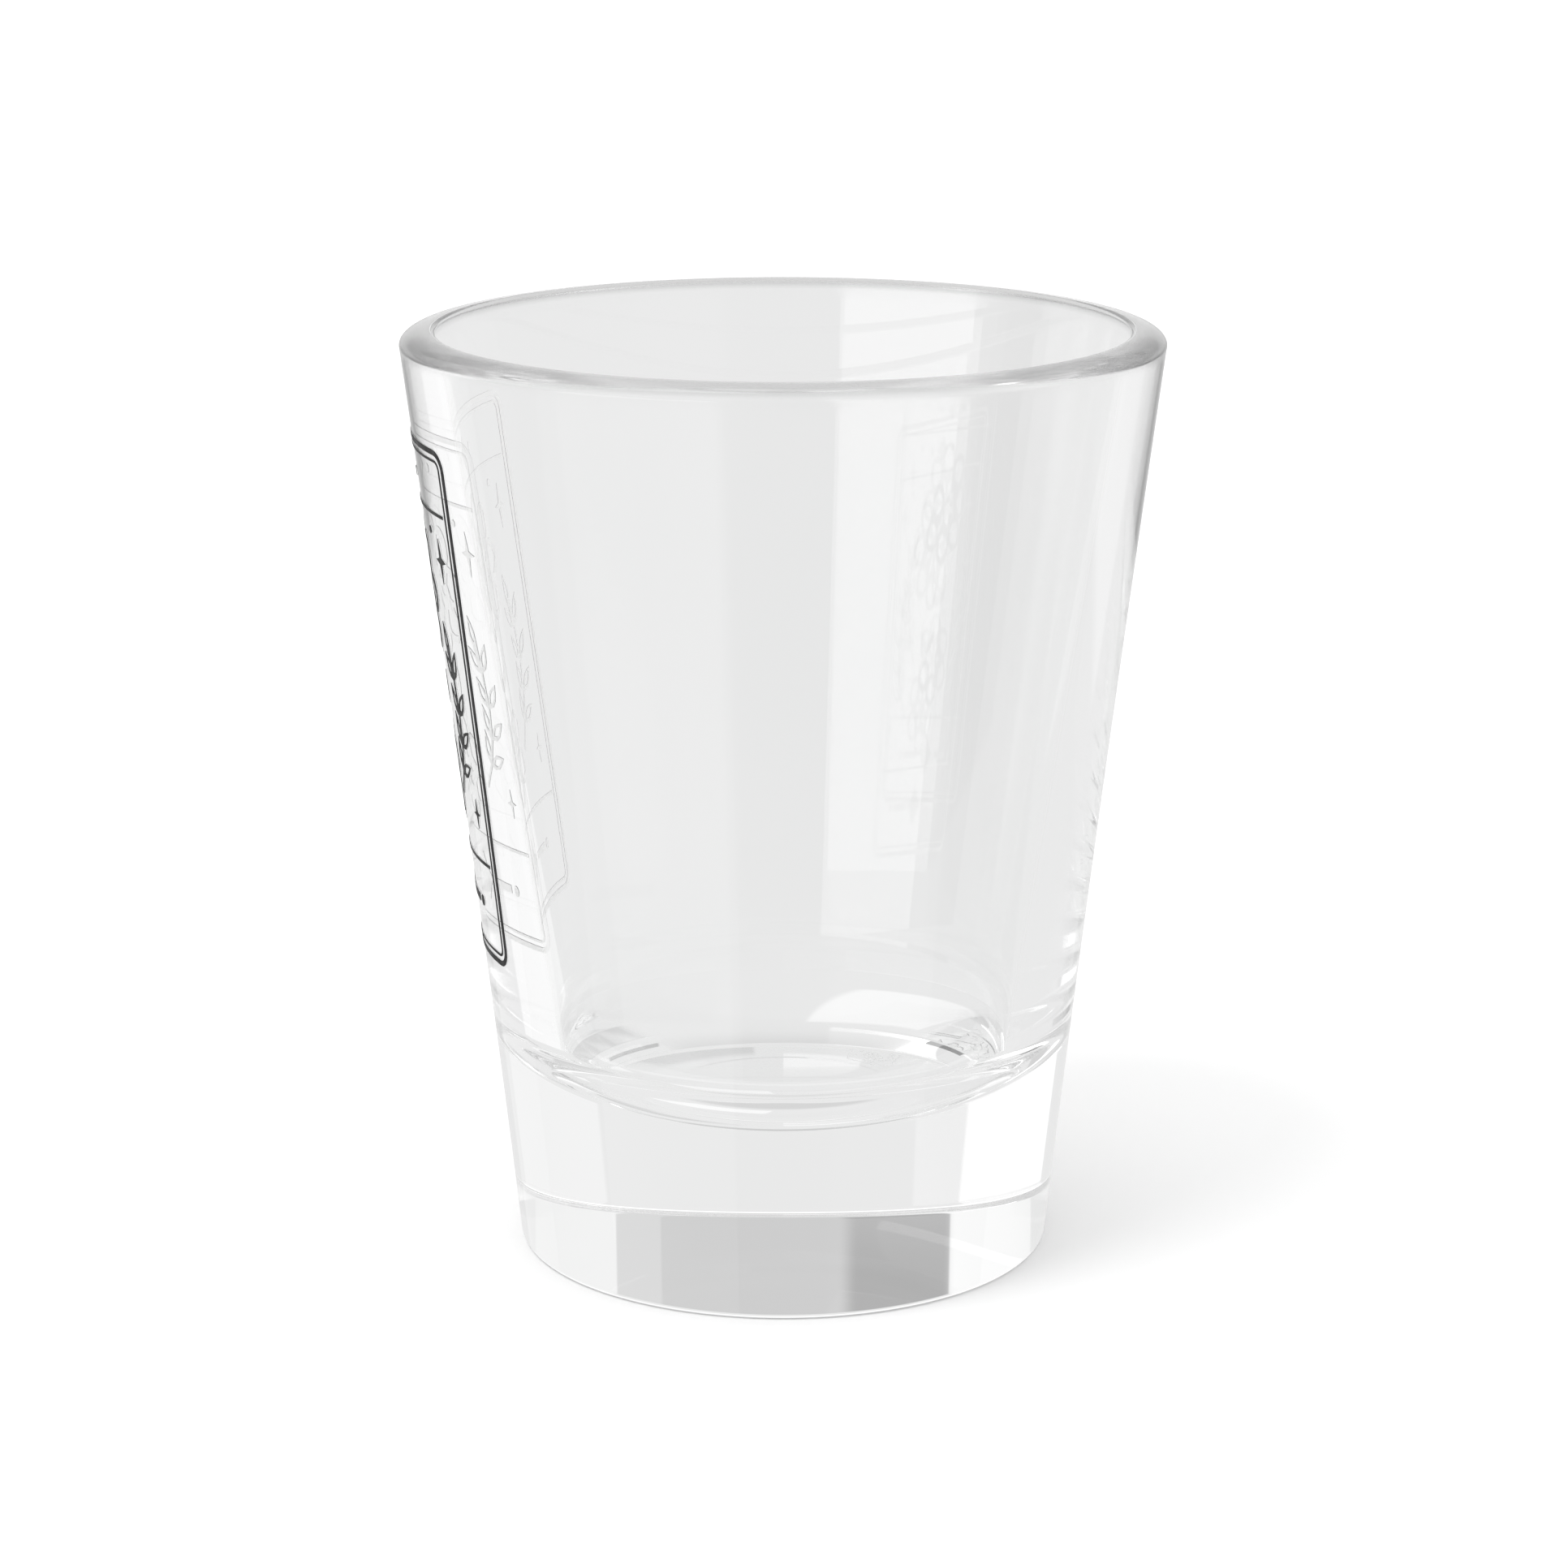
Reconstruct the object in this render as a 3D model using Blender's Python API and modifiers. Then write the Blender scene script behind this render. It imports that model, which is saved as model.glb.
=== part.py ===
"""A souvenir shot glass: one pressed glass body, and the islands of ink of the card printed on its side.

Metres, +Z up. The origin is the centre of the flat face that the glass stands on.
The print faces -X. Its ink lies on the tapered wall, so each motif is drawn flat and then wrapped on.
"""

import math

import bmesh
import bpy

# ---- Glass body ----
HEIGHT = 0.0600
RIM_RADIUS = 0.02425  # outer wall, carried up to the level of the rim
BASE_RADIUS = 0.01729  # outer wall, carried down to the level of the base
WALL_BOW = 0.000155  # how far the outer wall bows in at mid height
RIM_WALL = 0.00235  # wall thickness at the rim
FLOOR_WALL = 0.00402  # wall thickness at the level of the floor
FLOOR_THICKNESS = 0.0099  # at the axis, where the well is deepest
BOWL_DEPTH = 0.0060  # the well ends in half an ellipse this deep
RIM_ROUND_WIDTH = 0.00198  # the fire-polished shoulder of the rim, across
RIM_ROUND_DEPTH = 0.00093  # and down
LIP_ROUND = 0.00030  # the rim's inner edge
BASE_EDGE_ROUND = 0.00040
GLASS_IOR = 1.46

# ---- Printed card ----
PRINT_FACING = math.radians(180)
PRINT_WIDTH = 0.0206  # along the arc at the card's mid height
PRINT_ABOVE_BASE = 0.0203
PRINT_BELOW_RIM = 0.0062
FRAME_CORNER = 0.0013
OUTER_LINE = 0.00036
LINE_GAP = 0.00030
INNER_LINE = 0.00017
RULE_LINE = 0.00022
HEAD_STRIP = 0.0043  # from the card's top edge down to the head rule
FOOT_STRIP = 0.0066  # from the card's bottom edge up to the foot rule
ART_MARGIN = 0.0004  # clear space between the art and the lines round it
INK_THICKNESS = 0.00004
INK_CLEARANCE = 0.00002  # between the ink and the glass

# ---- Fineness ----
GLASS_STEPS = 80
WALL_STEPS = 6
ROUND_STEPS = 6
BOWL_STEPS = 12
EDGE_STEPS = 3
CORNER_STEPS = 5
INK_CELL = 0.0012  # the ink is cut to cells this wide before it is wrapped
INK_CELL_TALL = 0.0060

# ---- The art ----
# It is drawn on a sheet of this many units and scaled to fit the space between the rules. Places are
# measured from the sheet's middle.
SHEET_WIDE = 18.4
SHEET_TALL = 22.0
UPPER_BLOOM = (0, 5.6, 5.0, 8)  # x, y, radius, petals
LOWER_BLOOM = (0, -6.9, 3.7, 6)
PETAL_STEPS = 8
PETAL_NOTCH = 0.72  # the bloom's radius between two petals, as a share of its whole radius
PETAL_BLUNTNESS = 0.7
# Windows in the petals: start and length as shares of the radius, width as a share of the petal's own
# room, and how far the ring is turned, in petals.
PETAL_RINGS = ((0.50, 0.43, 0.72, 0.0), (0.18, 0.24, 0.55, 0.5))
MOON = (0, -1.0, 1.7, 1.45, 0.62)  # x, y, radius, radius of the bite, shift of the bite
SPRIG_STEM = ((4.3, -7.6), (8.2, -4.0), (6.4, 1.9))  # foot, bend, tip
SPRIG_THICK = 0.26
SPRIG_PAIRS = 4
SPRIG_LEAF = (2.3, 0.95, 0.62)  # length, width, spread from the stem in radians
TIP_SPACE = 0.6  # from the last pair to the leaf at the tip, where one pair to the next is 1
LEAF_ROOT = 0.2  # how far past a leaf the stem's edge starts again, as a share of the stem's thickness
WINDOW_START = 0.22
WINDOW_LENGTH = 0.60
WINDOW_WIDTH = 0.50
STAR = (7.7, 8.4, 1.5, 0.95, 0.30)  # x, y, half its height, half its width, waist
SPARKLE = (8.1, -8.2, 1.0, 0.62, 0.20)
DOT = (6.1, 10.2, 0.26)  # x, y, radius

# ---- Ornaments in the head and foot strips, in marks ----
FOOT_DIAMOND = (1.5, 0.9)  # reach, waist
HEAD_DIAMOND = (1.0, 0.6)
FOOT_BAR = (3.6, 2.8, 0.5)  # x, width, height
FOOT_DOT = (5.8, 0.35)  # x, radius
HEAD_DOT = (2.2, 0.30)
MARKS_PER_STRIP = 4


def outer_radius(z):
    """The outer wall's radius at height z: a taper with a slight inward bow."""
    up = z / HEIGHT
    return BASE_RADIUS + (RIM_RADIUS - BASE_RADIUS) * up - WALL_BOW * 4 * up * (1 - up)


def arc(centre_r, centre_z, wide, tall, start, end, steps):
    """Points on a quarter ellipse or a part of one, both ends included. Angles in degrees."""
    points = []
    for step in range(steps + 1):
        angle = math.radians(start + (end - start) * step / steps)
        points.append((centre_r + wide * math.cos(angle), centre_z + tall * math.sin(angle)))
    return points


def well_bowl():
    """The well's rounded bottom, half an ellipse about the axis, and the lean of the wall above it."""
    low = outer_radius(FLOOR_THICKNESS) - FLOOR_WALL
    mouth = outer_radius(HEIGHT) - RIM_WALL
    slope = (mouth - low) / (HEIGHT - FLOOR_THICKNESS)
    # A line and an ellipse are tangent where the line's radius at the ellipse's centre, squared, is the sum
    # of the two half axes squared, the vertical one times the slope.
    wall_at_centre = low + BOWL_DEPTH * slope
    bowl_radius = math.sqrt(wall_at_centre**2 - (BOWL_DEPTH * slope) ** 2)
    touch = -math.degrees(math.atan(slope * BOWL_DEPTH / bowl_radius))
    bowl = arc(0, FLOOR_THICKNESS + BOWL_DEPTH, bowl_radius, BOWL_DEPTH, -90, touch, BOWL_STEPS)
    return bowl, math.atan(slope)


def glass_profile():
    """Half section, from the floor's centre up the well, over the rim and down the outside to the axis."""
    bowl, lean = well_bowl()
    mouth = outer_radius(HEIGHT) - RIM_WALL
    lip_centre = (mouth + LIP_ROUND, HEIGHT - LIP_ROUND)
    points = [(0, FLOOR_THICKNESS)] + bowl[1:]
    points += arc(*lip_centre, LIP_ROUND, LIP_ROUND, 180 - math.degrees(lean), 90, EDGE_STEPS)
    shoulder_z = HEIGHT - RIM_ROUND_DEPTH
    shoulder_r = outer_radius(shoulder_z) - RIM_ROUND_WIDTH
    points += arc(shoulder_r, shoulder_z, RIM_ROUND_WIDTH, RIM_ROUND_DEPTH, 90, 0, ROUND_STEPS)
    for step in range(1, WALL_STEPS):
        z = shoulder_z + (BASE_EDGE_ROUND - shoulder_z) * step / WALL_STEPS
        points.append((outer_radius(z), z))
    edge_r = outer_radius(BASE_EDGE_ROUND) - BASE_EDGE_ROUND
    points += arc(edge_r, BASE_EDGE_ROUND, BASE_EDGE_ROUND, BASE_EDGE_ROUND, 0, -90, EDGE_STEPS)
    points.append((0, 0))
    return points


def material(name, colour, roughness, **sockets):
    """A Principled material; further sockets are given by name, with _ for a space."""
    made = bpy.data.materials.new(name)
    made.use_nodes = True
    shader = made.node_tree.nodes["Principled BSDF"]
    shader.inputs["Base Color"].default_value = (*colour, 1)
    shader.inputs["Roughness"].default_value = roughness
    for socket, value in sockets.items():
        shader.inputs[socket.replace("_", " ")].default_value = value
    return made


def make_glass(parts):
    profile = glass_profile()
    mesh = bpy.data.meshes.new("glass_body")
    edges = [(i, i + 1) for i in range(len(profile) - 1)]
    mesh.from_pydata([(r, 0, z) for r, z in profile], edges, [])
    glass = bpy.data.objects.new("glass_body", mesh)
    parts.objects.link(glass)
    turn = glass.modifiers.new("turn", "SCREW")
    turn.axis = "Z"
    turn.angle = math.tau
    turn.steps = GLASS_STEPS
    turn.render_steps = GLASS_STEPS
    turn.use_merge_vertices = True
    turn.merge_threshold = 0.000001
    turn.use_smooth_shade = True
    clear = material("clear_glass", (0.97, 0.98, 0.98), 0.02, Transmission_Weight=1.0, IOR=GLASS_IOR)
    mesh.materials.append(clear)


# ---- The card's layout, in the flat ----
# x runs along the arc from the card's centre line, and y up from its lower edge.

PRINT_HEIGHT = HEIGHT - PRINT_ABOVE_BASE - PRINT_BELOW_RIM
PRINT_RADIUS = outer_radius(PRINT_ABOVE_BASE + PRINT_HEIGHT / 2)
FRAME_TOTAL = OUTER_LINE + LINE_GAP + INNER_LINE
PANEL_WIDE = PRINT_WIDTH - 2 * (FRAME_TOTAL + ART_MARGIN)
PANEL_LOW = FOOT_STRIP + RULE_LINE / 2 + ART_MARGIN
PANEL_HIGH = PRINT_HEIGHT - HEAD_STRIP - RULE_LINE / 2 - ART_MARGIN
UNIT = min(PANEL_WIDE / SHEET_WIDE, (PANEL_HIGH - PANEL_LOW) / SHEET_TALL)


def on_sheet(points):
    """Art units, from the sheet's middle, to metres on the card."""
    middle = (PANEL_LOW + PANEL_HIGH) / 2
    return [(x * UNIT, middle + y * UNIT) for x, y in points]


def wrapped(x, y, depth):
    """A flat point of the card, put on the tapered wall, depth above its inner face."""
    z = PRINT_ABOVE_BASE + y
    angle = PRINT_FACING + x / PRINT_RADIUS
    radius = outer_radius(z) + INK_CLEARANCE + depth
    return radius * math.cos(angle), radius * math.sin(angle), z


def cell_cuts(bm, axis, size):
    """Cuts the flat ink across every `size`, so that it bends with the wall."""
    low = min(vertex.co[axis] for vertex in bm.verts)
    high = max(vertex.co[axis] for vertex in bm.verts)
    normal = [0, 0, 0]
    normal[axis] = 1
    cell = math.floor(low / size) + 1
    while cell * size < high:
        place = [0, 0, 0]
        place[axis] = cell * size
        everything = bm.verts[:] + bm.edges[:] + bm.faces[:]
        bmesh.ops.bisect_plane(bm, geom=everything, dist=1e-7, plane_co=place, plane_no=normal)
        cell += 1


def ink(parts, name, outline, holes=()):
    """One island of ink: a closed outline with holes, drawn flat, made solid and wrapped on the wall."""
    curve = bpy.data.curves.new(name, "CURVE")
    curve.dimensions = "2D"
    curve.fill_mode = "BOTH"
    curve.extrude = INK_THICKNESS / 2
    for loop in (outline, *holes):
        spline = curve.splines.new("POLY")
        spline.points.add(len(loop) - 1)
        for point, (x, y) in zip(spline.points, loop):
            point.co = (x, y, 0, 1)
        spline.use_cyclic_u = True
    drawing = bpy.data.objects.new(name + "_drawing", curve)
    parts.objects.link(drawing)
    graph = bpy.context.evaluated_depsgraph_get()
    mesh = bpy.data.meshes.new_from_object(drawing.evaluated_get(graph))
    bpy.data.objects.remove(drawing)
    bpy.data.curves.remove(curve)
    bm = bmesh.new()
    bm.from_mesh(mesh)
    bmesh.ops.remove_doubles(bm, verts=bm.verts, dist=1e-7)
    cell_cuts(bm, 0, INK_CELL)
    cell_cuts(bm, 1, INK_CELL_TALL)
    for vertex in bm.verts:
        x, y, across = vertex.co
        vertex.co = wrapped(x, y, across + INK_THICKNESS / 2)
    bmesh.ops.recalc_face_normals(bm, faces=bm.faces)
    if bm.calc_volume(signed=True) < 0:
        bmesh.ops.reverse_faces(bm, faces=bm.faces)
    bm.to_mesh(mesh)
    bm.free()
    mesh.name = name
    mesh.materials.clear()
    mesh.materials.append(material(name + "_ink", (0.02, 0.02, 0.022), 0.45))
    parts.objects.link(bpy.data.objects.new(name, mesh))


# ---- Outlines ----


def card_outline(inset):
    """The card's rounded rectangle, moved in by inset."""
    half = PRINT_WIDTH / 2 - inset
    low, high = inset, PRINT_HEIGHT - inset
    corner = max(FRAME_CORNER - inset, FRAME_CORNER / 4)
    corners = ((half, high, 0), (-half, high, 90), (-half, low, 180), (half, low, 270))
    points = []
    for x, y, start in corners:
        centre_x = x - math.copysign(corner, x)
        centre_y = y - corner if y == high else y + corner
        points += arc(centre_x, centre_y, corner, corner, start, start + 90, CORNER_STEPS)
    return points


def bar(centre_x, centre_y, wide, tall):
    half_x, half_y = wide / 2, tall / 2
    return [
        (centre_x - half_x, centre_y - half_y),
        (centre_x + half_x, centre_y - half_y),
        (centre_x + half_x, centre_y + half_y),
        (centre_x - half_x, centre_y + half_y),
    ]


def round_dot(centre_x, centre_y, radius, steps=12):
    return arc(centre_x, centre_y, radius, radius, 0, 360 - 360 / steps, steps - 1)


def star(centre_x, centre_y, tall, wide, waist):
    """A four-pointed star with hollow sides."""
    points = []
    for turn in range(8):
        angle = math.radians(45 * turn)
        reach_x, reach_y = (wide, tall) if turn % 2 == 0 else (waist, waist)
        points.append((centre_x + reach_x * math.cos(angle), centre_y + reach_y * math.sin(angle)))
    return points


def crescent(centre_x, centre_y, radius, bite, shift):
    """A new moon lying on its back: a disc less a smaller disc that is shifted up."""
    cross_y = (radius**2 - bite**2 + shift**2) / (2 * shift)
    outer_end = math.degrees(math.asin(cross_y / radius))
    inner_end = math.degrees(math.asin((cross_y - shift) / bite))
    outer = arc(centre_x, centre_y, radius, radius, 180 - outer_end, 360 + outer_end, 20)
    inner = arc(centre_x, centre_y + shift, bite, bite, inner_end, -180 - inner_end, 16)
    return outer + inner[1:-1]


def leaf(base_x, base_y, heading, length, width, steps=4):
    """An almond from its base to its tip and back, turned to heading, in radians."""
    flat = []
    for side in (-1, 1):
        for step in range(steps + 1):
            along = step / steps if side < 0 else 1 - step / steps
            across = side * width / 2 * math.sin(math.pi * along**0.8)
            flat.append((along * length, across))
    del flat[steps]
    turn_c, turn_s = math.cos(heading), math.sin(heading)
    return [(base_x + x * turn_c - y * turn_s, base_y + x * turn_s + y * turn_c) for x, y in flat[:-1]]


def bloom(centre_x, centre_y, radius, petals):
    """A flower in line work: a scalloped outline with an open window in each petal, in two rings."""
    outline = []
    for step in range(petals * PETAL_STEPS):
        turn = math.tau * step / (petals * PETAL_STEPS)
        scallop = abs(math.cos(petals * turn / 2)) ** PETAL_BLUNTNESS
        reach = radius * (PETAL_NOTCH + (1 - PETAL_NOTCH) * scallop)
        outline.append((centre_x + reach * math.sin(turn), centre_y + reach * math.cos(turn)))
    windows = []
    for start, length, width, offset in PETAL_RINGS:
        for petal in range(petals):
            heading = math.pi / 2 - math.tau * (petal + offset) / petals
            span = math.tau * (start + length / 2) / petals
            base_x = centre_x + start * radius * math.cos(heading)
            base_y = centre_y + start * radius * math.sin(heading)
            windows.append(leaf(base_x, base_y, heading, length * radius, width * span * radius))
    return outline, windows


def leaf_window(base_x, base_y, heading, length, width):
    """The open middle of a leaf: a smaller almond inside it."""
    start_x = base_x + WINDOW_START * length * math.cos(heading)
    start_y = base_y + WINDOW_START * length * math.sin(heading)
    return leaf(start_x, start_y, heading, WINDOW_LENGTH * length, WINDOW_WIDTH * width)


def stem_point(stem, along):
    """A point on the stem, a curve with one bend, and the stem's heading there."""
    (x0, y0), (x1, y1), (x2, y2) = stem
    back = 1 - along
    x = back * back * x0 + 2 * back * along * x1 + along * along * x2
    y = back * back * y0 + 2 * back * along * y1 + along * along * y2
    dx = 2 * back * (x1 - x0) + 2 * along * (x2 - x1)
    dy = 2 * back * (y1 - y0) + 2 * along * (y2 - y1)
    return x, y, math.atan2(dy, dx)


def sprig(stem, thick, leaves, leaf_length, leaf_width, spread):
    """A stem with leaves on both sides and one at its tip, as one outline, with a window in each leaf."""
    windows = []
    sides = []
    for side in (-1, 1):
        edge = []
        for place in range(leaves + 1):
            along = place / (leaves + TIP_SPACE)
            x, y, heading = stem_point(stem, along)
            off_x = -math.sin(heading) * side * thick / 2
            off_y = math.cos(heading) * side * thick / 2
            edge.append((x + off_x, y + off_y))
            if place == 0:
                continue
            turned = heading + side * spread
            blade = leaf(x + off_x, y + off_y, turned, leaf_length, leaf_width)[1:]
            edge += blade if side < 0 else blade[::-1]
            past = LEAF_ROOT * thick
            edge.append((x + off_x + past * math.cos(heading), y + off_y + past * math.sin(heading)))
            windows.append(leaf_window(x + off_x, y + off_y, turned, leaf_length, leaf_width))
        sides.append(edge)
    x, y, heading = stem_point(stem, 1)
    tip = leaf(x, y, heading, leaf_length, leaf_width)[1:]
    windows.append(leaf_window(x, y, heading, leaf_length, leaf_width))
    return sides[0] + tip + sides[1][::-1], windows


def mirrored(points):
    return [(-x, y) for x, y in points]


# ---- The print ----


def make_print(parts):
    inner_at = OUTER_LINE + LINE_GAP
    ink(parts, "outer_frame", card_outline(0), [card_outline(OUTER_LINE)])
    ink(parts, "inner_frame", card_outline(inner_at), [card_outline(inner_at + INNER_LINE)])
    rule_wide = PRINT_WIDTH - 2 * (FRAME_TOTAL + LINE_GAP)
    ink(parts, "head_rule", bar(0, PRINT_HEIGHT - HEAD_STRIP, rule_wide, RULE_LINE))
    ink(parts, "foot_rule", bar(0, FOOT_STRIP, rule_wide, RULE_LINE))

    for name, place in (("upper_bloom", UPPER_BLOOM), ("lower_bloom", LOWER_BLOOM)):
        flower, windows = bloom(*place)
        ink(parts, name, on_sheet(flower), [on_sheet(window) for window in windows])
    ink(parts, "crescent_moon", on_sheet(crescent(*MOON)))

    twig, twig_windows = sprig(SPRIG_STEM, SPRIG_THICK, SPRIG_PAIRS, *SPRIG_LEAF)
    for side, flip in (("right", list), ("left", mirrored)):
        windows = [on_sheet(flip(window)) for window in twig_windows]
        ink(parts, side + "_sprig", on_sheet(flip(twig)), windows)
        ink(parts, side + "_star", on_sheet(flip(star(*STAR))))
        ink(parts, side + "_sparkle", on_sheet(flip(star(*SPARKLE))))
        ink(parts, side + "_dot", on_sheet(flip(round_dot(*DOT))))

    foot = (FOOT_STRIP + FRAME_TOTAL) / 2
    head = PRINT_HEIGHT - (HEAD_STRIP + FRAME_TOTAL) / 2
    mark = min(FOOT_STRIP, HEAD_STRIP, PRINT_WIDTH / MARKS_PER_STRIP) / MARKS_PER_STRIP
    for name, place, size in (("foot_diamond", foot, FOOT_DIAMOND), ("head_diamond", head, HEAD_DIAMOND)):
        reach, waist = (part * mark for part in size)
        ink(parts, name, star(0, place, reach, reach, waist))
    for side, flip in (("right", list), ("left", mirrored)):
        bar_x, bar_wide, bar_tall = (part * mark for part in FOOT_BAR)
        ink(parts, side + "_foot_bar", flip(bar(bar_x, foot, bar_wide, bar_tall)))
        for strip, place, size in (("_foot_dot", foot, FOOT_DOT), ("_head_dot", head, HEAD_DOT)):
            dot_x, radius = (part * mark for part in size)
            ink(parts, side + strip, flip(round_dot(dot_x, place, radius)))


def main():
    for thing in list(bpy.data.objects):
        bpy.data.objects.remove(thing)
    parts = bpy.data.collections.new("shot_glass")
    bpy.context.scene.collection.children.link(parts)
    make_glass(parts)
    make_print(parts)


main()
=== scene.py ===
# %% [markdown]
# # A printed shot glass
#
# A shot glass is one lump of pressed glass: a heavy base, a tapered wall and a fire-polished rim. On its
# side sits a small card of printed line art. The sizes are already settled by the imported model, so this
# lesson only makes the surface fine and gives each piece its finish.
#
# We start by loading that model. Every node in it stands at its true place, in metres, so whatever we
# make has to land on it.

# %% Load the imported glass
import math

import bpy
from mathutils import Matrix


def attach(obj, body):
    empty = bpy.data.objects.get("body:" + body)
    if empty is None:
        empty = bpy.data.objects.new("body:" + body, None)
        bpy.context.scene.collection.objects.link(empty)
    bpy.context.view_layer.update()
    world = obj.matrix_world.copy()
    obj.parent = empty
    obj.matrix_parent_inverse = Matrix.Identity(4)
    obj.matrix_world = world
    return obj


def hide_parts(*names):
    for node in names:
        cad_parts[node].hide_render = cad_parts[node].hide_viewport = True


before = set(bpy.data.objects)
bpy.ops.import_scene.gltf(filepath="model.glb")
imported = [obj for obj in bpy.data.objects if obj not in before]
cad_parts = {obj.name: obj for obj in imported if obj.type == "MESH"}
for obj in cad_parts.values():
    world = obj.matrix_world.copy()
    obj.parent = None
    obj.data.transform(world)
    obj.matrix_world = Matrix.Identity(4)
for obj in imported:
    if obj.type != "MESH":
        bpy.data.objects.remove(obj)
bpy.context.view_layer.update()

MM = 0.001  # a millimetre, in the metres that this frame uses

# %% [markdown]
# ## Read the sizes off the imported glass
#
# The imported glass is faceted, but its rings are where the real surface is. Each ring is a radius and a
# height. From them come the height and the flat of the base, and they are what the fine glass has to
# meet.

# %% Measure the rings
SAME_PLACE = 0.01  # heights closer than this, in millimetres, are one height
packed_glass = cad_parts["glass_body"]
rings = {
    (round(math.hypot(v.co.x, v.co.y) / MM, 2), round(v.co.z / MM, 2))
    for v in packed_glass.data.vertices
}
HEIGHT = max(z for r, z in rings)
BASE_FLAT = max(r for r, z in rings if z < SAME_PLACE)
top_flat_radii = [r for r, z in rings if HEIGHT - z < SAME_PLACE]
print(f"height {HEIGHT}, innermost ring {min(rings)}, base flat {BASE_FLAT} in radius")
print("top of the rim, from and to radius:", min(top_flat_radii), max(top_flat_radii))

# %% [markdown]
# Some sizes are easier to say than to read. These are the roundings that a mould and a flame leave, in
# millimetres, and the two walls as they would run without them.

# %% Name the roundings and the walls
BASE_ROUND = 0.40
RIM_WIDE, RIM_DEEP = 1.98, 0.93
LIP_ROUND = 0.30
RIM_RADIUS, BASE_RADIUS, WALL_BOW = 24.25, 17.29, 0.155
RIM_WALL, FLOOR_WALL = 2.35, 4.02
FLOOR, BOWL_DEEP = 9.9, 6.0  # the well's deepest point, and how deep its rounded bottom is
OUTSIDE_FROM = 17  # rings wider than this are on the outer wall


def wall_radius(z):
    """The outer wall at height z: a straight taper that bows in a little at its middle."""
    up = z / HEIGHT
    return BASE_RADIUS + (RIM_RADIUS - BASE_RADIUS) * up - WALL_BOW * 4 * up * (1 - up)


for r, z in sorted(rings, key=lambda ring: ring[1]):
    if BASE_ROUND < z < HEIGHT - RIM_DEEP and r > OUTSIDE_FROM:
        print(f"at {z:5.2f} the packed wall is {r:5.2f}, the fine wall {wall_radius(z):5.2f}")

# %% [markdown]
# ## Draw the half section
#
# A pressed glass is round, so its whole shape is one half section turned about the axis. It could be
# built up from a cylinder with insets and bevels, but the roundings here decide where every highlight
# falls, so it is better to draw them as arcs.
#
# We add a plane, collapse it to a single point, and then extrude that point from place to place. The
# line starts at the middle of the floor, climbs the well, rolls over the rim and comes down the outside.
#
# Smooth shading blends the slope across each face. Where a flat meets an arc, a ring very close to the
# join stops that blend from bending the flat, which in clear glass would show as a false lens.

# %% Helpers for drawing
GUARD = 0.02  # how close a holding ring sits to its join


def deselect_everything():
    if bpy.context.object and bpy.context.object.mode != "OBJECT":
        bpy.ops.object.mode_set(mode="OBJECT")
    bpy.ops.object.select_all(action="DESELECT")


def start_section(name, r, z):
    """A plane shrunk to one point at (r, z), left in edit mode with that point selected."""
    deselect_everything()
    bpy.ops.mesh.primitive_plane_add(size=MM, location=(0, 0, 0))
    section = bpy.context.object
    section.name = section.data.name = name
    bpy.ops.object.mode_set(mode="EDIT")
    bpy.ops.mesh.select_all(action="SELECT")
    bpy.ops.mesh.merge(type="CENTER")
    bpy.ops.transform.translate(value=(r * MM, 0, z * MM))
    return section


def draw(points):
    """Extrudes the selected point through (r, z) places in turn, from the place it is at."""
    r, z = points[0]
    for next_r, next_z in points[1:]:
        step = ((next_r - r) * MM, 0, (next_z - z) * MM)
        bpy.ops.mesh.extrude_vertices_move(TRANSFORM_OT_translate={"value": step})
        r, z = next_r, next_z


def arc(centre_r, centre_z, wide, tall, start, end, steps):
    """Places along part of an ellipse, with angles in degrees from straight outwards."""
    places = []
    for step in range(steps + 1):
        angle = math.radians(start + (end - start) * step / steps)
        places.append((centre_r + wide * math.cos(angle), centre_z + tall * math.sin(angle)))
    return places


# %% Lay out the section
BOWL_STEPS, LIP_STEPS, SHOULDER_STEPS, EDGE_STEPS = 40, 8, 28, 8
WALL_RINGS = 24
mouth = RIM_RADIUS - RIM_WALL
slope = (mouth - wall_radius(FLOOR) + FLOOR_WALL) / (HEIGHT - FLOOR)
lean = math.degrees(math.atan(slope))
# The bowl is half an ellipse. A line touches an ellipse where the line's radius at the ellipse's
# centre, squared, is the sum of the half axes squared, the upright one times the line's slope.
wall_at_centre = wall_radius(FLOOR) - FLOOR_WALL + BOWL_DEEP * slope
bowl_wide = math.sqrt(wall_at_centre**2 - (BOWL_DEEP * slope) ** 2)
touch = -math.degrees(math.atan(slope * BOWL_DEEP / bowl_wide))
bowl = [(0, FLOOR)] + arc(0, FLOOR + BOWL_DEEP, bowl_wide, BOWL_DEEP, -90, touch, BOWL_STEPS)[1:]
lip = arc(mouth + LIP_ROUND, HEIGHT - LIP_ROUND, LIP_ROUND, LIP_ROUND, 180 - lean, 90, LIP_STEPS)
WELL_LONG = 45  # about how far it is up the well's wall
well_rings = [GUARD / WELL_LONG] + [ring / 10 for ring in range(1, 10)] + [1 - GUARD / WELL_LONG]
low, high = bowl[-1], lip[0]
well_wall = [(low[0] + (high[0] - low[0]) * up, low[1] + (high[1] - low[1]) * up) for up in well_rings]

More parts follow.
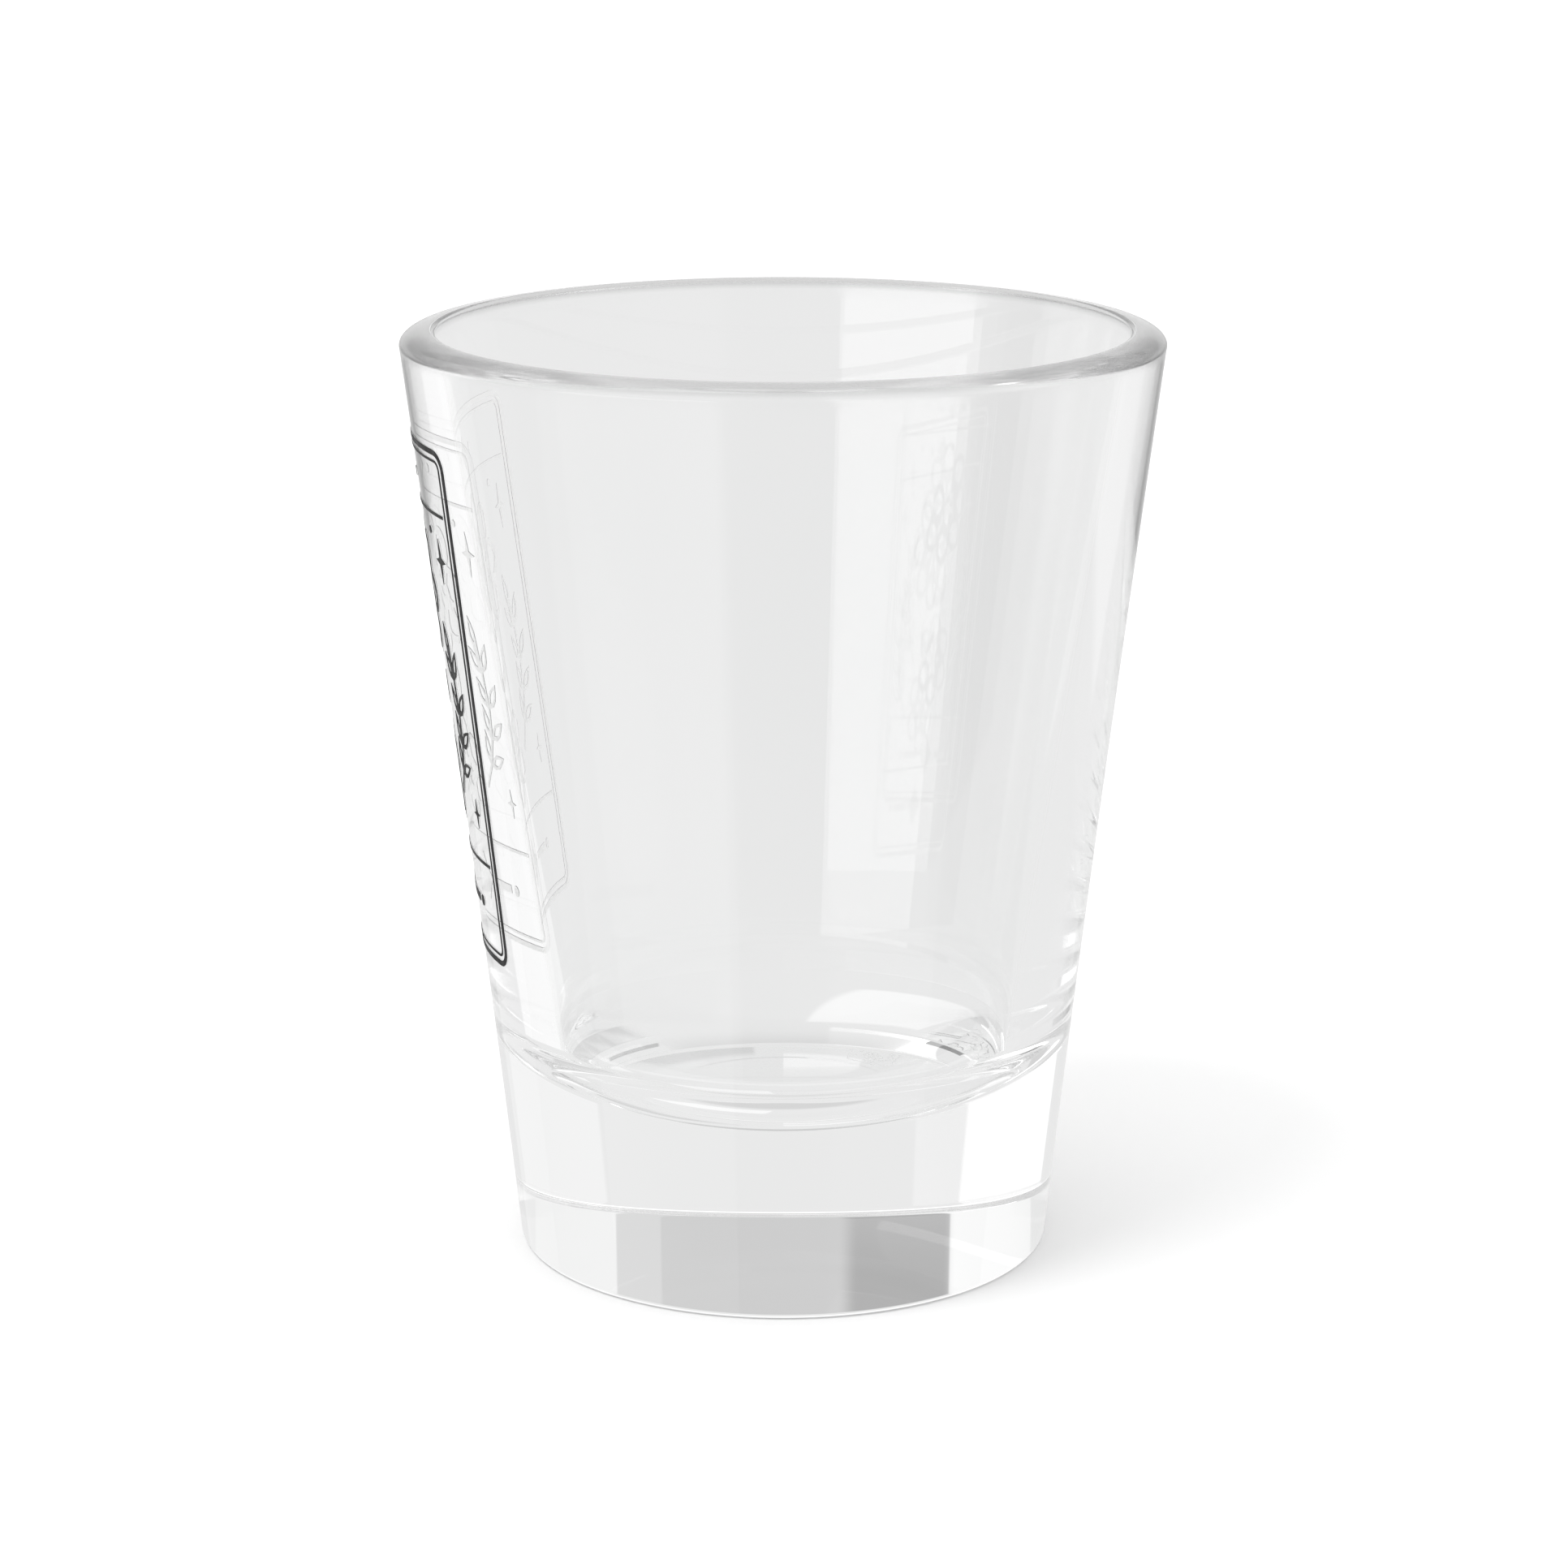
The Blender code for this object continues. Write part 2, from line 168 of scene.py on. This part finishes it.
shoulder_z = HEIGHT - RIM_DEEP
shoulder_r = wall_radius(shoulder_z) - RIM_WIDE
top_flat = [(lip[-1][0] + GUARD / 2, HEIGHT), (shoulder_r - GUARD / 2, HEIGHT)]
shoulder = arc(shoulder_r, shoulder_z, RIM_WIDE, RIM_DEEP, 90, 0, SHOULDER_STEPS)
wall = []
for ring in range(WALL_RINGS + 1):
    z = shoulder_z - GUARD + (BASE_ROUND + 2 * GUARD - shoulder_z) * ring / WALL_RINGS
    wall.append((wall_radius(z), z))
edge_r = wall_radius(BASE_ROUND) - BASE_ROUND
base_edge = arc(edge_r, BASE_ROUND, BASE_ROUND, BASE_ROUND, 0, -90, EDGE_STEPS)
base_line = [(edge_r - GUARD, 0), (edge_r / 2, 0), (0, 0)]

section_places = bowl + well_wall + lip + top_flat + shoulder + wall + base_edge + base_line
print(len(section_places), "places along the section; the well leans", round(lean, 2), "degrees")
for r, z in sorted(rings, key=lambda ring: ring[1]):
    if FLOOR < z < FLOOR + BOWL_DEEP and r < bowl_wide:
        fine_r = bowl_wide * math.sqrt(1 - ((FLOOR + BOWL_DEEP - z) / BOWL_DEEP) ** 2)
        print(f"at {z:5.2f} the packed bowl is {r:5.2f}, the fine bowl {fine_r:5.2f}")

# %% [markdown]
# ## Turn the section into glass
#
# Spin sweeps the line about the axis, as a lathe would. It leaves a seam where the last copy meets the
# first, and a heap of points at the floor's and the base's middle. Merging by distance closes both.
# After that the surface is one closed skin, so its normals can be made to face out.

# %% Spin it
TURN_STEPS = 256
WELD = 0.002 * MM
SHARP_FROM = math.radians(40)
glass = start_section("pressed_glass", *section_places[0])
draw(section_places)
bpy.ops.mesh.select_all(action="SELECT")
bpy.ops.mesh.spin(steps=TURN_STEPS, angle=math.tau, center=(0, 0, 0), axis=(0, 0, 1))
bpy.ops.mesh.select_all(action="SELECT")
bpy.ops.mesh.remove_doubles(threshold=WELD)
bpy.ops.mesh.normals_make_consistent(inside=False)
bpy.ops.object.mode_set(mode="OBJECT")
bpy.ops.object.shade_smooth_by_angle(angle=SHARP_FROM)
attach(glass, "root")
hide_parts("glass_body")
print("glass:", len(glass.data.vertices), "points,", len(glass.data.polygons), "faces")

# %% [markdown]
# ## Shared surface effects
#
# Two effects are node groups with named inputs, and soft mottle is used by more than one finish.
#
# *Soft mottle* is a slow noise between two values. Real glass and real ink are never quite even.
#
# *Fine specks* picks out small scattered dots, here the ink's pinholes.

# %% Node groups
def new_group(name, inputs, outputs):
    """An empty shader node group. Inputs and outputs are (name, socket type, default)."""
    group = bpy.data.node_groups.new(name, "ShaderNodeTree")
    for in_out, sockets in (("INPUT", inputs), ("OUTPUT", outputs)):
        for label, kind, default in sockets:
            socket = group.interface.new_socket(name=label, in_out=in_out, socket_type=kind)
            if default is not None:
                socket.default_value = default
    return group, group.nodes.new("NodeGroupInput"), group.nodes.new("NodeGroupOutput")


def math_node(tree, operation, first, second=None, third=None, clamp=False):
    """A Math node; each argument is a socket to link or a number to set."""
    node = tree.nodes.new("ShaderNodeMath")
    node.operation = operation
    node.use_clamp = clamp
    for socket, value in zip(node.inputs, (first, second, third)):
        if value is None:
            continue
        if isinstance(value, (int, float)):
            socket.default_value = value
        else:
            tree.links.new(value, socket)
    return node.outputs[0]


def colour_mix(tree, factor, first, second):
    """A colour Mix node; each argument is a socket to link or a value to set."""
    node = tree.nodes.new("ShaderNodeMix")
    node.data_type = "RGBA"
    for label, value in (("Factor", factor), ("A", first), ("B", second)):
        if isinstance(value, (float, tuple)):
            node.inputs[label].default_value = value
        else:
            tree.links.new(value, node.inputs[label])
    return node.outputs["Result"]


MOTTLE_DETAIL = 3
MOTTLE_FROM, MOTTLE_TO = 0.3, 0.7  # the stretch of the noise that fills the range


def make_soft_mottle():
    group, given, result = new_group(
        "soft mottle",
        [("Vector", "NodeSocketVector", None), ("Scale", "NodeSocketFloat", 100.0),
         ("Low", "NodeSocketFloat", 0.0), ("High", "NodeSocketFloat", 1.0)],
        [("Value", "NodeSocketFloat", None)],
    )
    noise = group.nodes.new("ShaderNodeTexNoise")
    noise.inputs["Detail"].default_value = MOTTLE_DETAIL
    group.links.new(given.outputs["Vector"], noise.inputs["Vector"])
    group.links.new(given.outputs["Scale"], noise.inputs["Scale"])
    spread = group.nodes.new("ShaderNodeMapRange")
    spread.inputs["From Min"].default_value = MOTTLE_FROM
    spread.inputs["From Max"].default_value = MOTTLE_TO
    group.links.new(noise.outputs["Fac"], spread.inputs["Value"])
    group.links.new(given.outputs["Low"], spread.inputs["To Min"])
    group.links.new(given.outputs["High"], spread.inputs["To Max"])
    group.links.new(spread.outputs["Result"], result.inputs["Value"])
    return group


def make_fine_specks():
    group, given, result = new_group(
        "fine specks",
        [("Vector", "NodeSocketVector", None), ("Scale", "NodeSocketFloat", 2000.0),
         ("Size", "NodeSocketFloat", 0.12)],
        [("Mask", "NodeSocketFloat", None)],
    )
    cells = group.nodes.new("ShaderNodeTexVoronoi")
    group.links.new(given.outputs["Vector"], cells.inputs["Vector"])
    group.links.new(given.outputs["Scale"], cells.inputs["Scale"])
    near = math_node(group, "LESS_THAN", cells.outputs["Distance"], given.outputs["Size"])
    group.links.new(near, result.inputs["Mask"])
    return group


SOFT_MOTTLE = make_soft_mottle()
FINE_SPECKS = make_fine_specks()
print("groups:", SOFT_MOTTLE.name, "and", FINE_SPECKS.name)

# %% [markdown]
# ## Clear glass
#
# Glass like this bends light by about a third of its angle and takes no colour of its own at this
# thickness. What makes it look like pressed glass and not like a computer's idea of glass is very small:
# a slow waviness from the mould, a faint trace of handling, and a hair of unevenness in its clearness.
#
# The rim needs help. Light that enters a rim runs round inside the wall, and with a perfectly smooth
# skin the render shows it as a ragged pattern where a real rim shows soft greys. So from just below the
# rim the finish grows rougher, and on the very top a grey painted shade is mixed into its colour. Both
# come on smoothly with height. They stand in for that look, and the grey is painted shade, not a colour
# of the glass. Neither is a measured property of the glass.
#
# Metallic and Transmission stay plain numbers, so the finish reads the same wherever it is used.

# %% Glass material
GLASS_BEND = 1.46
GLASS_TINTS = (0.985, 0.988, 0.987, 1), (1.0, 1.0, 1.0, 1)
TINT_SCALE, SMUDGE_SCALE, GLASS_WAVE_SCALE = 60.0, 140.0, 90.0
CLEAR_ROUGH = 0.004
GLASS_WAVE, GLASS_WAVE_DEEP = 0.05, 0.01 * MM
RIM_SOFT_FROM = 58.2  # the rougher skin starts at this height
RIM_ROUGH = 0.13
# painted shade: a grey laid on the top of the rim, standing in for the soft greys of light running round
# inside it
RIM_PAINTED_SHADE = (0.65, 0.65, 0.65, 1)
RIM_PAINTED_SHADE_FROM = HEIGHT - RIM_DEEP + 0.15


def place_group(tree, group, vector, **values):
    node = tree.nodes.new("ShaderNodeGroup")
    node.node_tree = group
    tree.links.new(vector, node.inputs["Vector"])
    for label, value in values.items():
        node.inputs[label].default_value = value
    return node.outputs[0]


def rise(tree, value, low, high):
    """0 up to low, 1 from high, and a smooth change between them."""
    node = tree.nodes.new("ShaderNodeMapRange")
    node.interpolation_type = "SMOOTHSTEP"
    node.inputs["From Min"].default_value = low
    node.inputs["From Max"].default_value = high
    tree.links.new(value, node.inputs["Value"])
    return node.outputs["Result"]


def add_bump(tree, shader, height, strength, distance):
    bump = tree.nodes.new("ShaderNodeBump")
    bump.inputs["Strength"].default_value = strength
    bump.inputs["Distance"].default_value = distance
    tree.links.new(height, bump.inputs["Height"])
    tree.links.new(bump.outputs["Normal"], shader.inputs["Normal"])


def new_material(name):
    material = bpy.data.materials.new(name)
    material.use_nodes = True
    tree = material.node_tree
    return material, tree, tree.nodes["Principled BSDF"]


def make_clear_glass():
    material, tree, shader = new_material("clear pressed glass")
    shader.inputs["Metallic"].default_value = 0.0
    shader.inputs["Transmission Weight"].default_value = 1.0
    shader.inputs["IOR"].default_value = GLASS_BEND
    where = tree.nodes.new("ShaderNodeTexCoord").outputs["Object"]
    split = tree.nodes.new("ShaderNodeSeparateXYZ")
    tree.links.new(where, split.inputs["Vector"])
    height = split.outputs["Z"]

    uneven = place_group(tree, SOFT_MOTTLE, where, Scale=TINT_SCALE)
    clear = colour_mix(tree, uneven, *GLASS_TINTS)
    # painted shade: grey mixed into the colour near the top of the rim, for the light running round
    # inside it
    rim_shade_mask = rise(tree, height, RIM_PAINTED_SHADE_FROM * MM, (HEIGHT - LIP_ROUND) * MM)
    tree.links.new(colour_mix(tree, rim_shade_mask, clear, RIM_PAINTED_SHADE), shader.inputs["Base Color"])

    smudge = place_group(tree, SOFT_MOTTLE, where, Scale=SMUDGE_SCALE, Low=0.0, High=CLEAR_ROUGH)
    at_rim = rise(tree, height, RIM_SOFT_FROM * MM, (HEIGHT - RIM_DEEP) * MM)
    rough = math_node(tree, "MULTIPLY_ADD", at_rim, RIM_ROUGH, smudge)
    tree.links.new(rough, shader.inputs["Roughness"])

    wave = place_group(tree, SOFT_MOTTLE, where, Scale=GLASS_WAVE_SCALE)
    add_bump(tree, shader, wave, GLASS_WAVE, GLASS_WAVE_DEEP)
    return material


clear_glass = make_clear_glass()
glass.data.materials.clear()
glass.data.materials.append(clear_glass)
print("glass bends light by", GLASS_BEND)

# %% [markdown]
# ## Printed ink
#
# The card is printed in two passes: a white layer that keys to the glass, and black over it. From
# outside one sees black with the fine grain of a cured print. Through the glass, from behind, one sees
# the white layer. Each island of ink is a thin solid, so the side that a face is on tells which layer
# it shows: where its normal points towards the axis it is white, and otherwise black.
#
# Thin white ink lets some light through from outside. This finish is opaque, so its white side gives
# off some light of its own instead.

# %% Ink material
INWARDS = -0.5  # a face whose normal points this far towards the axis is an inner one
INK_BLACKS = (0.006, 0.006, 0.006, 1), (0.012, 0.012, 0.012, 1)
PINHOLE_GREY = (0.10, 0.10, 0.10, 1)
INK_WHITE, WHITE_GLOW, NO_GLOW = (0.95, 0.95, 0.945, 1), (0.42, 0.42, 0.418, 1), (0.0, 0.0, 0.0, 1)
BLACK_SCALE, PINHOLE_SCALE, SATIN_SCALE, GRAIN_SCALE = 900.0, 4200.0, 1500.0, 2600.0
PINHOLE_SIZE = 0.10
INK_ROUGH_LOW, INK_ROUGH_HIGH = 0.38, 0.58
INK_SHEEN = 0.1
GRAIN, GRAIN_DEEP = 0.25, 0.01 * MM


def facing_out(tree, place):
    """1 on faces that point sideways or away from the axis, 0 on those that point towards it."""
    flat = tree.nodes.new("ShaderNodeVectorMath")
    flat.operation = "MULTIPLY"
    flat.inputs[1].default_value = (1, 1, 0)
    tree.links.new(place.outputs["Object"], flat.inputs[0])
    away = tree.nodes.new("ShaderNodeVectorMath")
    away.operation = "NORMALIZE"
    tree.links.new(flat.outputs["Vector"], away.inputs[0])
    facing = tree.nodes.new("ShaderNodeVectorMath")
    facing.operation = "DOT_PRODUCT"
    tree.links.new(away.outputs["Vector"], facing.inputs[0])
    tree.links.new(place.outputs["Normal"], facing.inputs[1])
    return math_node(tree, "GREATER_THAN", facing.outputs["Value"], INWARDS)


def make_print_ink():
    material, tree, shader = new_material("black ink on white")
    place = tree.nodes.new("ShaderNodeTexCoord")
    where = place.outputs["Object"]
    outside = facing_out(tree, place)

    black = colour_mix(tree, place_group(tree, SOFT_MOTTLE, where, Scale=BLACK_SCALE), *INK_BLACKS)
    pinholes = place_group(tree, FINE_SPECKS, where, Scale=PINHOLE_SCALE, Size=PINHOLE_SIZE)
    specked = colour_mix(tree, pinholes, black, PINHOLE_GREY)
    tree.links.new(colour_mix(tree, outside, INK_WHITE, specked), shader.inputs["Base Color"])
    tree.links.new(colour_mix(tree, outside, WHITE_GLOW, NO_GLOW), shader.inputs["Emission Color"])
    shader.inputs["Emission Strength"].default_value = 1.0

    shader.inputs["Specular IOR Level"].default_value = INK_SHEEN
    satin = place_group(
        tree, SOFT_MOTTLE, where, Scale=SATIN_SCALE, Low=INK_ROUGH_LOW, High=INK_ROUGH_HIGH
    )
    tree.links.new(satin, shader.inputs["Roughness"])
    grain = place_group(tree, SOFT_MOTTLE, where, Scale=GRAIN_SCALE)
    add_bump(tree, shader, grain, GRAIN, GRAIN_DEEP)
    return material


print_ink = make_print_ink()
ink_nodes = sorted(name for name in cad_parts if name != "glass_body")
for name in ink_nodes:
    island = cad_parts[name]
    island.data.materials.clear()
    island.data.materials.append(print_ink)
print(len(ink_nodes), "islands of ink:", ", ".join(ink_nodes))

# %% [markdown]
# ## The studio
#
# Clear glass shows nothing but its surroundings, so the surroundings are most of its look. The floor is
# plain and pale, and gives off a little light, which keeps the glass's shadow faint. The glass doesn't
# show the floor, because the studio below takes its place there.
#
# Round the glass stands a plain studio in pale greys: a grey card high at the back, brighter walls to
# both sides of it, a dimmer wall on the right, and a softbox low on the left, beside the camera.
#
# The studio is a world shader. Two angles of the direction looked in, one round and one up, pick the
# panels, and each panel has a soft edge. The panels began as a least-squares fit of patches of light,
# rounded, and about half were then set one by one.
#
# The camera itself sees plain white, and the floor and the ink are lit evenly from all round.

# %% Floor
FLOOR_SIDE, FLOOR_SQUARES, FLOOR_BELOW = 4.0, 8, 0.02 * MM
FLOOR_COLOUR, FLOOR_ROUGH = (0.9, 0.9, 0.9, 1), 0.9
FLOOR_GLOW = (0.1, 0.1, 0.1, 1)


def make_floor():
    deselect_everything()
    bpy.ops.mesh.primitive_grid_add(
        x_subdivisions=FLOOR_SQUARES,
        y_subdivisions=FLOOR_SQUARES,
        size=FLOOR_SIDE,
        location=(0, 0, -FLOOR_BELOW),
    )
    floor = bpy.context.object
    floor.name = "studio_floor"
    material, tree, shader = new_material("pale floor")
    shader.inputs["Base Color"].default_value = FLOOR_COLOUR
    shader.inputs["Roughness"].default_value = FLOOR_ROUGH
    shader.inputs["Specular IOR Level"].default_value = 0.0
    shader.inputs["Emission Color"].default_value = FLOOR_GLOW
    shader.inputs["Emission Strength"].default_value = 1.0
    floor.data.materials.append(material)
    floor.visible_transmission = False
    floor.visible_glossy = False
    return floor


floor = make_floor()
print("floor laid:", tuple(round(side, 2) for side in floor.dimensions))

# %% World
def soft_band(tree, value, low, high, soft):
    """1 between low and high, 0 outside, with a soft change `soft` wide at each end."""
    start = rise(tree, value, low - soft / 2, low + soft / 2)
    end = rise(tree, value, high - soft / 2, high + soft / 2)
    return math_node(tree, "SUBTRACT", start, end, clamp=True)


def switch(tree, factor, first, second):
    """The first value where the factor is 0 and the second where it is 1."""
    node = tree.nodes.new("ShaderNodeMix")
    node.data_type = "FLOAT"
    node.inputs["B"].default_value = second
    tree.links.new(factor, node.inputs["Factor"])
    tree.links.new(first, node.inputs["A"])
    return node.outputs["Result"]


ROOM = 0.83  # brightness of the bare room
BACKDROP = 1.0  # what the camera sees past the floor
SOFT_LIGHT = 1.05  # even light from all round on everything that isn't glass
# Each panel adds light or, below zero, takes it away: azimuth from and to, elevation from and to,
# change, softness of its edge. Angles are in degrees, with azimuth 0 straight behind the glass and
# positive to the right.
PANELS = {
    "grey card at the back": (-27, 18, 20, 50, -0.22, 0.5),
    "its darker left end": (-27, -9, 20, 30, -0.2, 3),
    "its paler right end": (18, 27, 20, 50, -0.14, 0.5),
    "wall beside the card, left": (-60, -27, -30, 50, 0.16, 1),
    "wall beside the card, right": (27, 60, -20, 30, 0.08, 1),
    "dim wall, right": (27, 160, 30, 50, -0.19, 4),
    "left softbox": (-160, -110, -10, 10, 1.2, 0.5),
    "glow round the softbox": (-160, -100, -50, 10, 0.3, 1),
    "gap beside the softbox": (-110, -80, -10, 10, -0.64, 0.5),
    "light along the back": (-80, 60, 0, 10, 0.3, 2),
    "dim behind the camera, left": (-190, -160, -50, 10, -0.12, 5),
    "dim behind the camera, right": (160, 190, -50, 10, -0.12, 5),
    "low corner, right": (80, 120, -30, -20, -0.33, 2),
    "bright patch on the floor behind": (-30, -3, -60, -48, 0.15, 1),
    "under the glass": (-60, 60, -90, -66, -0.16, 8),
    "high light behind the camera": (-180, -120, 50, 90, 0.15, 2),
}


def make_world():
    world = bpy.data.worlds.new("studio")
    bpy.context.scene.world = world
    world.use_nodes = True
    tree = world.node_tree
    background = tree.nodes["Background"]
    background.inputs["Color"].default_value = (1, 1, 1, 1)
    coordinates = tree.nodes.new("ShaderNodeTexCoord")
    split = tree.nodes.new("ShaderNodeSeparateXYZ")
    tree.links.new(coordinates.outputs["Generated"], split.inputs["Vector"])
    x, y, z = split.outputs
    round_angle = math_node(tree, "ARCTAN2", x, y)
    azimuth = math_node(tree, "MULTIPLY", round_angle, 180 / math.pi)
    up_angle = math_node(tree, "ARCSINE", z)
    elevation = math_node(tree, "MULTIPLY", up_angle, 180 / math.pi)
    brightness = ROOM
    for az_from, az_to, el_from, el_to, change, soft in PANELS.values():
        inside = math_node(
            tree, "MULTIPLY",
            soft_band(tree, azimuth, az_from, az_to, soft),
            soft_band(tree, elevation, el_from, el_to, soft),
        )
        brightness = math_node(tree, "MULTIPLY_ADD", inside, change, brightness)
    brightness = math_node(tree, "MAXIMUM", brightness, 0.0)
    path = tree.nodes.new("ShaderNodeLightPath")
    seen = switch(tree, path.outputs["Is Camera Ray"], brightness, BACKDROP)
    spread = switch(tree, path.outputs["Is Diffuse Ray"], seen, SOFT_LIGHT)
    tree.links.new(spread, background.inputs["Strength"])
    return world


make_world()
print(len(PANELS), "panels in the studio")

# %% [markdown]
# ## Light and camera
#
# One broad lamp at the left does what the panels alone don't: it throws the glass's faint shadow to the
# right. The camera stands a little above the rim and looks down at the middle of the glass through a
# long lens, so that the near and the far side of the rim come out nearly the same size.

# %% Lamp
LAMP_ROUND, LAMP_UP = -130, 60  # degrees, measured as the panels are
LAMP_WIDE, LAMP_POWER = 24, 0.9  # degrees across, and its strength


def make_lamp():
    lamp = bpy.data.lights.new("left lamp", "SUN")
    lamp.angle = math.radians(LAMP_WIDE)
    lamp.energy = LAMP_POWER
    holder = bpy.data.objects.new("left lamp", lamp)
    bpy.context.scene.collection.objects.link(holder)
    azimuth, elevation = math.radians(LAMP_ROUND), math.radians(LAMP_UP)
    holder.rotation_euler = (math.pi / 2 - elevation, 0, math.pi - azimuth)
    holder.visible_transmission = False
    holder.visible_glossy = False
    return holder


lamp = make_lamp()
print("lamp strength", lamp.data.energy)

# %% Camera
CAMERA_FAR = 0.2665
CAMERA_HIGH = 0.09958
CAMERA_DOWN = 14.60  # degrees below level
CAMERA_LENS, SENSOR_WIDE = 97.66, 36
NEAREST_SEEN = 0.01
CAMERA_ASIDE = 0.00006


def make_camera():
    data = bpy.data.cameras.new("camera")
    data.lens = CAMERA_LENS
    data.sensor_width = SENSOR_WIDE
    data.clip_start = NEAREST_SEEN
    camera = bpy.data.objects.new("camera", data)
    bpy.context.scene.collection.objects.link(camera)
    camera.location = (CAMERA_ASIDE, -CAMERA_FAR, CAMERA_HIGH)
    camera.rotation_euler = (math.radians(90 - CAMERA_DOWN), 0, 0)
    bpy.context.scene.camera = camera
    return camera


camera = make_camera()
bpy.context.scene.view_settings.view_transform = "Standard"
# Light inside thick glass turns back many times before it gets out. With half as many turns the
# glass's edges go dark, and with twice as many the rim goes pale.
MOST_TURNS = 64
for kind in ("max_bounces", "glossy_bounces", "transmission_bounces", "diffuse_bounces"):
    setattr(bpy.context.scene.cycles, kind, MOST_TURNS)
print("camera at", tuple(round(value, 4) for value in camera.location))
